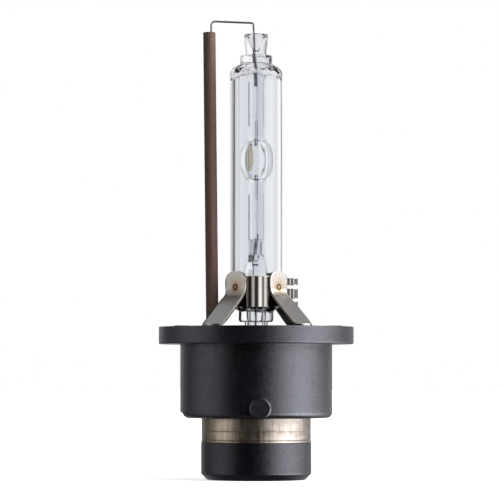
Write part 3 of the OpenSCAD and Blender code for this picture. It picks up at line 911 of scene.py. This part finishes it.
def end_collar(finish):
    """Insulating collar with a broken lower edge, round the connector's socket."""
    r, low, high = COLLAR_HIGH.x, COLLAR_LOW.z, COLLAR_HIGH.z
    socket_r, neck_r, lip, chamfer = 6.5, 7.6, 0.9, 1.0
    bm = revolve(rounded([
        (socket_r, low, 0.15), (r - chamfer, low, 0.3), (r, low + chamfer, 0.4), (r, high, 0.1),
        (neck_r, high), (neck_r, low + lip), (socket_r, low + lip)
    ], 6), segments=CAP_ROUND)
    return piece("end_collar_moulding", bm, finish, ["end_collar"], sharp=50)


# ---------------------------------------------------------------- stage, light and camera

# Where the photograph was taken from, in degrees and metres, and how much width it takes in.
PHOTO_AZIMUTH = -2.8
PHOTO_DISTANCE = 0.500
PHOTO_WIDTH = 81.7 * MM
CAMERA_Z = -8.5 * MM
AIM_Z = 12.46 * MM
AIM_SIDE = -1.01 * MM


def photo_camera():
    """The photograph's viewpoint: nearly level with the cap, from slightly right of -Y."""
    camera = bpy.data.cameras.new("camera")
    obj = bpy.data.objects.new("camera", camera)
    bpy.context.scene.collection.objects.link(obj)
    a = math.radians(PHOTO_AZIMUTH)
    back = Vector((math.sin(a), -math.cos(a), 0))
    right = Vector((math.cos(a), math.sin(a), 0))
    obj.location = back * PHOTO_DISTANCE + right * AIM_SIDE + Vector((0, 0, CAMERA_Z))
    aim = right * AIM_SIDE + Vector((0, 0, AIM_Z))
    obj.rotation_euler = (aim - obj.location).to_track_quat("-Z", "Y").to_euler()
    camera.lens = camera.sensor_width * (aim - obj.location).length / PHOTO_WIDTH
    camera.clip_start, camera.clip_end = 0.01, 10
    bpy.context.scene.camera = obj


def pale_floor():
    """Overexposed white table that only the camera sees: the lamp sees the studio's lower half."""
    reach, gap, glow = 4000, 0.02, 0.62
    bm = bmesh.new()
    bmesh.ops.create_grid(bm, x_segments=2, y_segments=2, size=reach)
    for v in bm.verts:
        v.co.z = cad_low.z / MM - gap
    made, tree, shader, mm = material("pale_floor", Roughness=0.8)
    shader.inputs["Emission Color"].default_value = (1, 1, 1, 1)
    shader.inputs["Emission Strength"].default_value = glow
    link(tree, ramp(tree, noise_of(tree, mm, 0.01, 2), [(0.3, 0.86), (0.7, 0.9)]),
         shader, "Base Color")
    obj = stored("floor", bm, [made])
    obj.visible_glossy = False
    obj.visible_diffuse = False
    obj.visible_transmission = False


# Studio brightness round the lamp: degrees right of the camera's side, and how bright.
# LEVEL is near the horizon, ABOVE is further from it on both sides, and HIGH is well over it,
# which is what the legs' slopes mirror. FLAGS is a low row of strip lights and black flags that
# draws the clamp band's stripes. THROUGH is what clear glass bends into view near the horizon,
# and SIDEWAYS is what it bends into view from further up or down.
LEVEL = (
    (-180, 0.82), (-150, 0.50), (-135, 0.10), (-118, 0.15), (-100, 0.62), (-80, 0.98), (-58, 0.55),
    (-47, 0.04), (-20, 0.01), (4, 0.01), (14, 0.10), (30, 0.40), (46, 0.50), (60, 1.0),
    (76, 1.0), (90, 0.35), (126, 0.30), (145, 0.90), (180, 0.82),
)
FLAGS = (
    (-180, 0.82), (-150, 0.55), (-120, 0.40), (-92, 0.95), (-70, 0.45), (-62, 0.01), (-46, 0.01),
    (-41, 0.17), (-36, 0.17), (-31, 0.01), (-23, 0.01), (-16, 0.70), (-12, 0.75), (-7, 0.03),
    (4, 0.06), (9, 1.55), (16, 1.50), (21, 0.25), (24, 0.09), (27, 0.35), (30, 1.30), (36, 1.05),
    (41, 0.08), (46, 0.01), (58, 0.03), (68, 0.22), (82, 0.50), (98, 0.45), (108, 0.05),
    (156, 0.05), (180, 0.82),
)
ABOVE = (
    (-180, 0.70), (-145, 0.16), (-120, 0.15), (-102, 0.40), (-78, 0.62), (-56, 0.46),
    (-42, 0.015), (-16, 0.002), (4, 0.002), (16, 0.08), (30, 2.0), (50, 5.4), (70, 6.8),
    (90, 5.4), (106, 3.2), (120, 1.6), (145, 0.34), (180, 0.70),
)
HIGH = (
    (-180, 0.60), (-150, 0.42), (-135, 0.40), (-120, 0.34), (-102, 0.42), (-78, 0.62), (-56, 0.46),
    (-42, 0.015), (-16, 0.002), (4, 0.002), (16, 0.08), (30, 2.0), (50, 5.4), (70, 5.6),
    (90, 2.4), (106, 0.80), (120, 0.38), (145, 0.32), (180, 0.60),
)
THROUGH = (
    (-180, 0.80), (-174, 0.78), (-166, 0.86), (-152, 0.80), (-140, 0.55), (-135, 0.10),
    (-128, 0.08), (-121, 0.52), (-80, 0.90), (-50, 0.55), (0, 0.42), (50, 0.55), (80, 0.90),
    (90, 0.60), (95, 0.20), (103, 0.20), (109, 0.60), (130, 0.94), (146, 1.06), (158, 0.96),
    (166, 0.94), (174, 0.86), (180, 0.80),
)
SIDEWAYS = (
    (-180, 0.82), (-120, 0.66), (-60, 0.55), (0, 0.40), (60, 0.60), (120, 0.78), (180, 0.82),
)
OVERHEAD, UNDERFOOT = 0.8, 0.10


def studio_world():
    """White for the eye. Round the lamp: a backdrop, a large right and a small left softbox."""
    world = bpy.data.worlds.new("studio")
    bpy.context.scene.world = world
    world.use_nodes = True
    tree = world.node_tree
    way = node(tree, "SeparateXYZ", None, Vector=node(tree, "TexCoord").outputs["Generated"])
    x, y, z = way.outputs
    turn = maths(tree, "ARCTAN2", x, maths(tree, "MULTIPLY", y, -1.0))
    share = maths(tree, "ADD", maths(tree, "DIVIDE", turn, TAU), 0.5)

    def profile(stops):
        """A table's brightness in the ray's direction, kept as a ramp below 1 and a factor."""
        peak = max(value for _, value in stops)
        grey = ramp(tree, share, [(az / 360 + 0.5, value / peak) for az, value in stops])
        return maths(tree, "MULTIPLY", grey, peak)

    def height(start, end):
        """0 up to one height of the ray, 1 past another, and smooth between them."""
        made = node(tree, "MapRange", {"interpolation_type": "SMOOTHSTEP"}, Value=z)
        made.inputs["From Min"].default_value = start
        made.inputs["From Max"].default_value = end
        return made.outputs[0]

    def crossfade(share, a, b):
        made = node(tree, "Mix", {"data_type": "FLOAT"})
        for socket, value in zip((made.inputs[0], made.inputs[2], made.inputs[3]), (share, a, b)):
            if isinstance(value, float):
                socket.default_value = value
            else:
                tree.links.new(value, socket)
        return made.outputs[0]

    off_level = maths(tree, "MAXIMUM", height(0.10, 0.26), height(-0.002, -0.055))
    beside_flags = maths(tree, "MAXIMUM", height(0.044, 0.050), height(0.018, 0.012))
    level = crossfade(beside_flags, profile(FLAGS), profile(LEVEL))
    lit = crossfade(off_level, level, profile(ABOVE))
    lit = crossfade(height(0.30, 0.46), lit, profile(HIGH))
    lit = crossfade(height(0.80, 0.97), lit, OVERHEAD)
    lit = crossfade(height(-0.50, -0.80), lit, UNDERFOOT)
    steep = maths(tree, "MAXIMUM", height(0.15, 0.55), height(-0.15, -0.55))
    bent = crossfade(steep, profile(THROUGH), profile(SIDEWAYS))
    ray = node(tree, "LightPath").outputs
    lit = crossfade(ray["Is Singular Ray"], lit, bent)
    shown = crossfade(ray["Is Camera Ray"], lit, 1.0)
    cool = ramp(tree, share, [(0.0, (0.955, 0.970, 1.0)), (0.10, (0.93, 0.95, 1.0)),
                              (0.3, (1.0, 1.0, 1.0)), (0.92, (1.0, 1.0, 1.0)),
                              (1.0, (0.955, 0.970, 1.0))])
    plain = blend(tree, ray["Is Camera Ray"], cool, (1, 1, 1))
    background = tree.nodes["Background"]
    tree.links.new(shown, background.inputs["Strength"])
    tree.links.new(plain, background.inputs["Color"])
    bpy.context.scene.view_settings.view_transform = "Standard"


# ---------------------------------------------------------------- build

def build():
    photo_camera()
    pale_floor()
    studio_world()
    joint = fused_joint()
    outer_bulb(quartz("outer_quartz", (0.955, 0.965, 0.985), 0.02), joint)
    arc_tube(quartz("burner_quartz", (0.965, 0.97, 0.985), 0.04, (0.87, 0.875, 0.915)), joint)
    tungsten = metal("tungsten_rod", (0.10, 0.10, 0.11), (0.22, 0.22, 0.24), 0.42, 3)[0]
    electrode("upper_electrode", TIP_U, 1, tungsten)
    electrode("lower_electrode", TIP_L, -1, tungsten)
    molybdenum = metal("molybdenum_foil", (0.12, 0.12, 0.135), (0.26, 0.26, 0.29), 0.35, 2)[0]
    foil("upper_foil", molybdenum)
    foil("lower_foil", molybdenum)
    drawn = metal("drawn_wire", (0.16, 0.16, 0.17), (0.30, 0.30, 0.31), 0.38, 2, (1, 1, 0.2))[0]
    wires(drawn)
    salt_film(halide())
    sleeve(sleeve_ceramic())
    legs(leg_steel(), weld_metal())
    bright = metal("bright_strip", (0.60, 0.565, 0.52), (0.78, 0.745, 0.695), 0.07,
                   0.8, (1, 1, 0.3), 0.002, 0.02)[0]
    clamp_band(bright)
    smooth_cad_node("base_housing", cap_plastic("cap_moulding", lined=True))
    contact_ring(ring_metal())
    end_collar(cap_plastic("collar_moulding", 0.85, 1.68))
    pickled = metal("pickled_ring", (0.33, 0.32, 0.31), (0.50, 0.48, 0.45), 0.36, 1.0)[0]
    smooth_cad_node("leg_ring", pickled)
    plated = metal("plated_pin", (0.52, 0.47, 0.36), (0.72, 0.66, 0.52), 0.28, 2.5)[0]
    smooth_cad_node("centre_contact", plated)


build()
